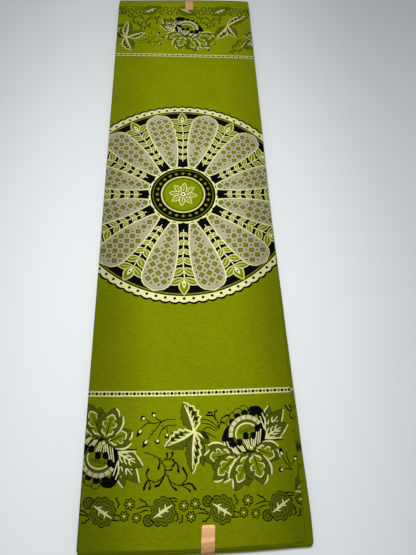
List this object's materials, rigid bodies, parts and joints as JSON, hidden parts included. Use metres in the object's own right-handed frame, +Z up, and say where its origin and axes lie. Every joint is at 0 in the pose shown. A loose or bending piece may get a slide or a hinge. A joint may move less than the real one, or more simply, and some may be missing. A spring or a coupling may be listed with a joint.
{
  "type": "folded printed cotton wrap cloth",
  "caption": "Printed cotton wrap cloth, folded lengthwise into a long flat strip, with floral borders, a round medallion and a foil band over each end.",
  "frame": {"origin": "middle of the underside, under the middle of the folded strip's box", "axes": "+Y along the strip from the near end to the far end, +X to its right, +Z up through the layers"},
  "size_m": [0.3224, 1.1704, 0.0129],
  "materials": {
    "printed_cotton": "plain-woven cotton, printed, lightly starched, soft sheen",
    "cotton_layers": "the same cotton seen at its folds and selvedges",
    "copper_foil": "copper-coloured metallic foil strip, smooth and glossy"
  },
  "bodies": {
    "root": {"outer_wrap": "printed_cotton", "folded_layers": "cotton_layers", "near_band": "copper_foil", "far_band": "copper_foil"}
  },
  "joints": []
}
